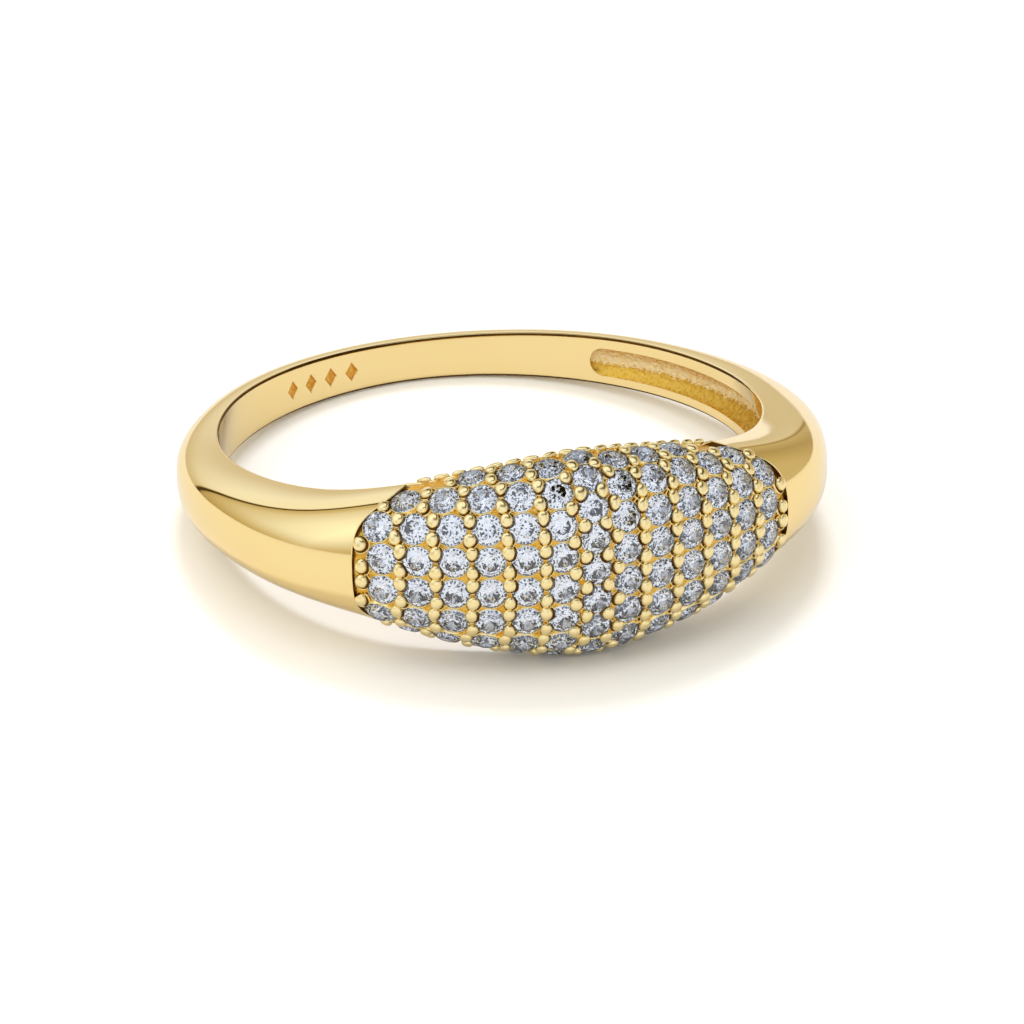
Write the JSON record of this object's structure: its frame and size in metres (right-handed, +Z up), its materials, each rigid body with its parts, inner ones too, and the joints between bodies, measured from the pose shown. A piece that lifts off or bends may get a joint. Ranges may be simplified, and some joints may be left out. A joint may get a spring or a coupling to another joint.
{
  "type": "statement ring",
  "caption": "Domed finger ring lying on its side: a polished gold band that tapers to the back, with a rounded front pave-set with small round cut stones.",
  "frame": {"origin": "middle of the ring's footprint, on the plane that it rests on", "axes": "+Z up from the plane it lies on, close to the finger axis; the domed front faces -Y and the back of the band +Y; the ring is alike on its -X and +X sides but for its recess and marks inside"},
  "size_m": [0.0202, 0.02, 0.0065],
  "materials": {
    "gold": "mirror-polished yellow gold plating on silver",
    "stones": "clear colourless cut stone, polished facets"
  },
  "bodies": {
    "root": {"ring_body": "gold", "pave_stones": "stones"}
  },
  "joints": []
}
